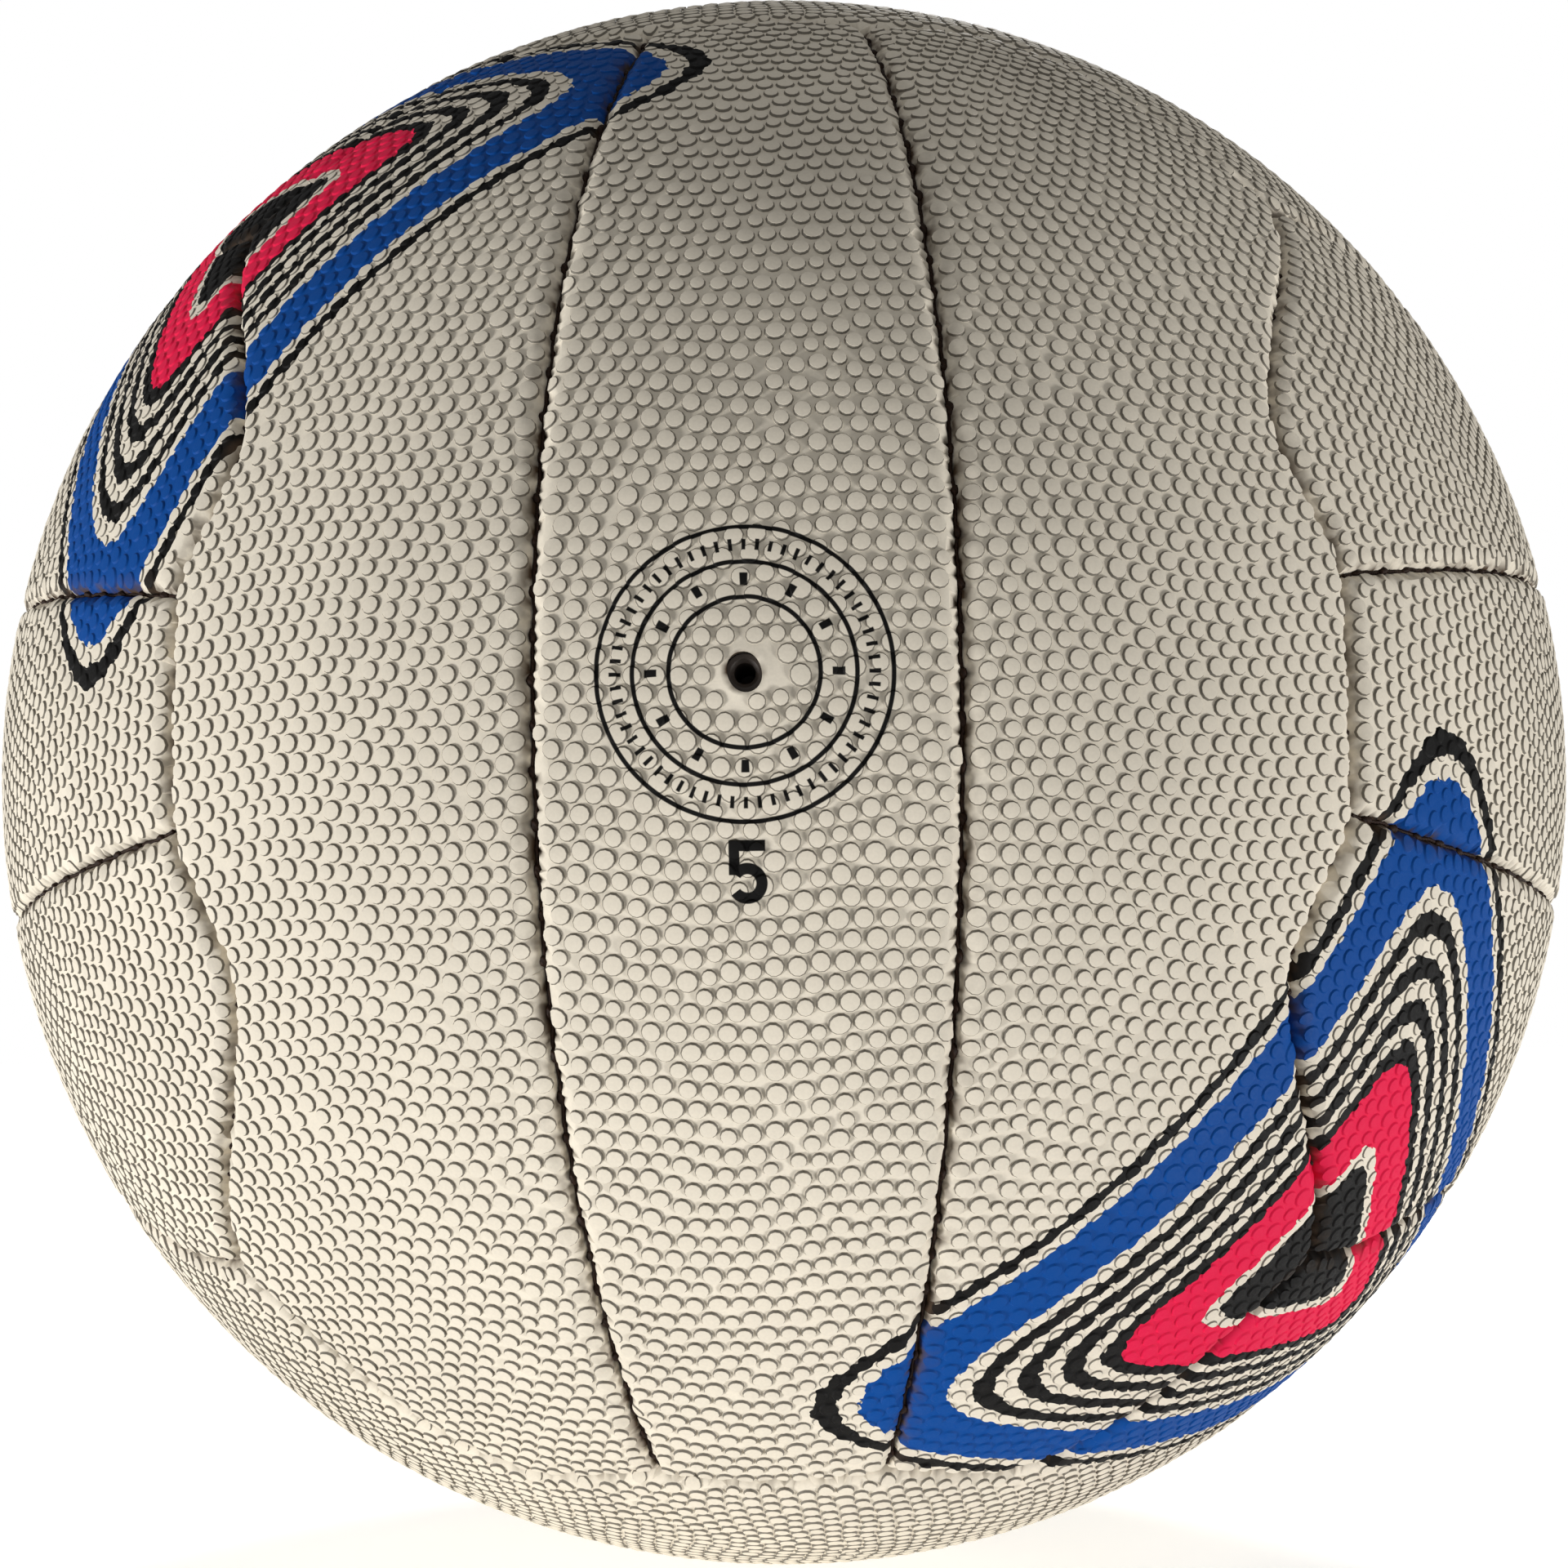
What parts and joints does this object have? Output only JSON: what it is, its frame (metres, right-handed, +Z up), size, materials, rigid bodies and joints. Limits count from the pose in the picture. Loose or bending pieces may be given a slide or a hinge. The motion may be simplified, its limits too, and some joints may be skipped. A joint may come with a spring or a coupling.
{
  "type": "netball",
  "caption": "Hand-stitched netball: pimpled rubber panels over cloth backing and an inflated bladder, with a needle valve in the front middle panel.",
  "frame": {"origin": "centre of the ball", "axes": "+Z up, -Y out through the valve, which faces the front; the front panels run up and down, those of the right and left faces along Y, and those of the top and bottom faces along X"},
  "size_m": [0.222, 0.2223, 0.222],
  "materials": {
    "cover_rubber": "matt moulded rubber with raised pimples",
    "backing_cloth": "laminated polyester and cotton cloth",
    "waxed_thread": "twisted waxed polyester thread",
    "bladder_rubber": "smooth butyl rubber",
    "valve_rubber": "smooth soft rubber"
  },
  "bodies": {
    "root": {"panel_front_left": "cover_rubber", "panel_front_middle": "cover_rubber", "panel_front_right": "cover_rubber", "panel_back_left": "cover_rubber", "panel_back_middle": "cover_rubber", "panel_back_right": "cover_rubber", "panel_right_lower": "cover_rubber", "panel_right_middle": "cover_rubber", "panel_right_upper": "cover_rubber", "panel_left_lower": "cover_rubber", "panel_left_middle": "cover_rubber", "panel_left_upper": "cover_rubber", "panel_top_front": "cover_rubber", "panel_top_middle": "cover_rubber", "panel_top_rear": "cover_rubber", "panel_bottom_front": "cover_rubber", "panel_bottom_middle": "cover_rubber", "panel_bottom_rear": "cover_rubber", "backing_front_left": "backing_cloth", "backing_front_middle": "backing_cloth", "backing_front_right": "backing_cloth", "backing_back_left": "backing_cloth", "backing_back_middle": "backing_cloth", "backing_back_right": "backing_cloth", "backing_right_lower": "backing_cloth", "backing_right_middle": "backing_cloth", "backing_right_upper": "backing_cloth", "backing_left_lower": "backing_cloth", "backing_left_middle": "backing_cloth", "backing_left_upper": "backing_cloth", "backing_top_front": "backing_cloth", "backing_top_middle": "backing_cloth", "backing_top_rear": "backing_cloth", "backing_bottom_front": "backing_cloth", "backing_bottom_middle": "backing_cloth", "backing_bottom_rear": "backing_cloth", "middle_thread_front": "waxed_thread", "middle_thread_back": "waxed_thread", "middle_thread_right": "waxed_thread", "middle_thread_left": "waxed_thread", "middle_thread_top": "waxed_thread", "middle_thread_bottom": "waxed_thread", "edge_thread_front": "waxed_thread", "edge_thread_back": "waxed_thread", "edge_thread_right": "waxed_thread", "edge_thread_left": "waxed_thread", "edge_thread_top": "waxed_thread", "edge_thread_bottom": "waxed_thread", "bladder": "bladder_rubber", "valve_patch": "bladder_rubber", "valve_housing": "valve_rubber", "valve_core": "valve_rubber"}
  },
  "joints": []
}
